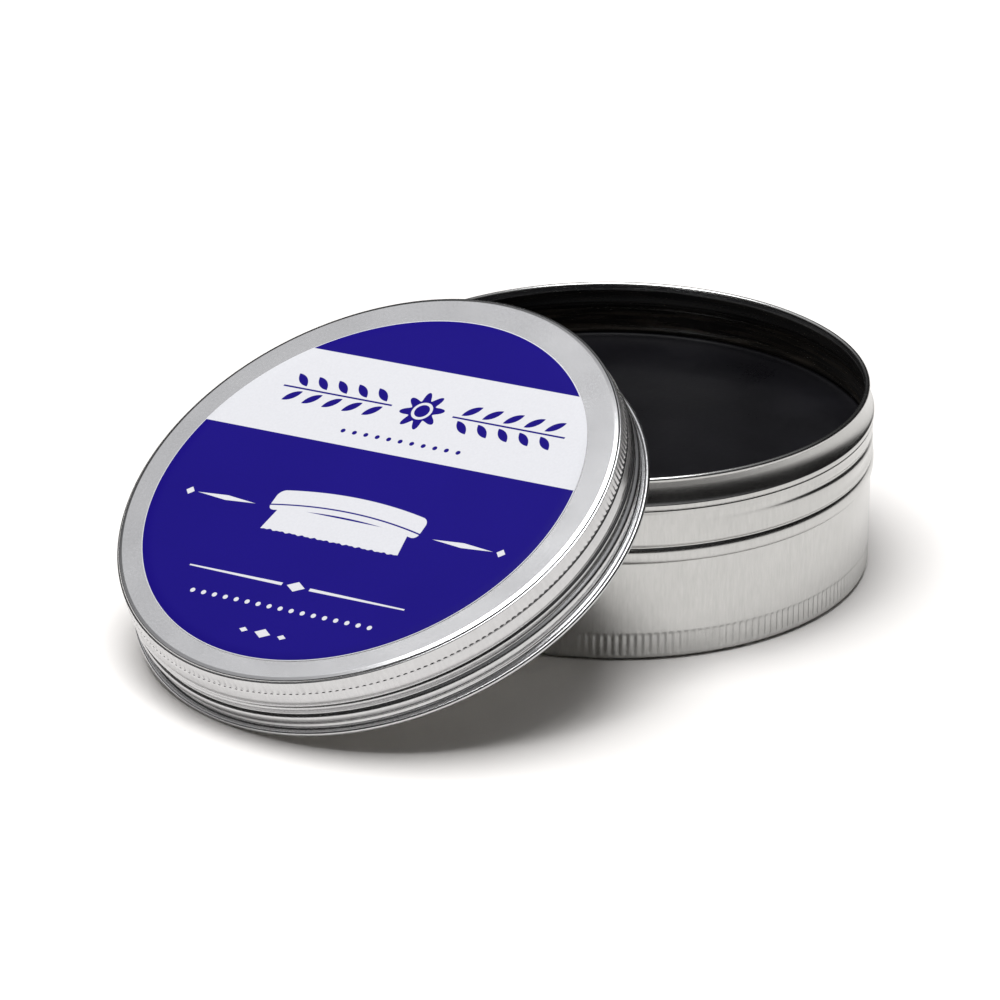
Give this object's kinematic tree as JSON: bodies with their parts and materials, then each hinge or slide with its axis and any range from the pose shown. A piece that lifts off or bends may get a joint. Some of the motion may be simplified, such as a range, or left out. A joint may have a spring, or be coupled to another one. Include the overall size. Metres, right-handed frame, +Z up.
{
  "type": "shoe polish tin",
  "caption": "Round screw-top aluminium tin of black wax shoe polish, standing open with its labelled lid leaning on the rim.",
  "frame": {"origin": "centre of the tin's flat base, on the surface that the tin stands on", "axes": "+Z up along the tin's axis; the front is -Y; the lid lies towards -X and -Y, in the vertical plane at 225 degrees from +X"},
  "size_m": [0.1183, 0.1182, 0.0463],
  "materials": {
    "aluminium": "satin, finely brushed bare aluminium sheet with bright rolled edges",
    "wax": null,
    "foam": "thin white closed-cell polyethylene foam",
    "label_paper": "printed semi-gloss paper, deep ultramarine with a white band and a thin white edge"
  },
  "bodies": {
    "tin": {"tin_body": "aluminium", "polish": "wax"},
    "liner": {"lid_liner": "foam"},
    "lid": {"lid_shell": "aluminium", "lid_label": "label_paper"}
  },
  "joints": [
    {"name": "lid_lift", "type": "hinge", "parent": "tin", "child": "liner", "pos_m": [0.00813, 0.00813, -0.07718], "axis": [-0.7071, 0.7071, 0], "range_deg": [0, 26.5]},
    {"name": "lid_turn", "type": "hinge", "parent": "liner", "child": "lid", "pos_m": [-0.03818, -0.03818, 0.02842], "axis": [-0.3155, -0.3155, 0.8949], "continuous": true}
  ]
}
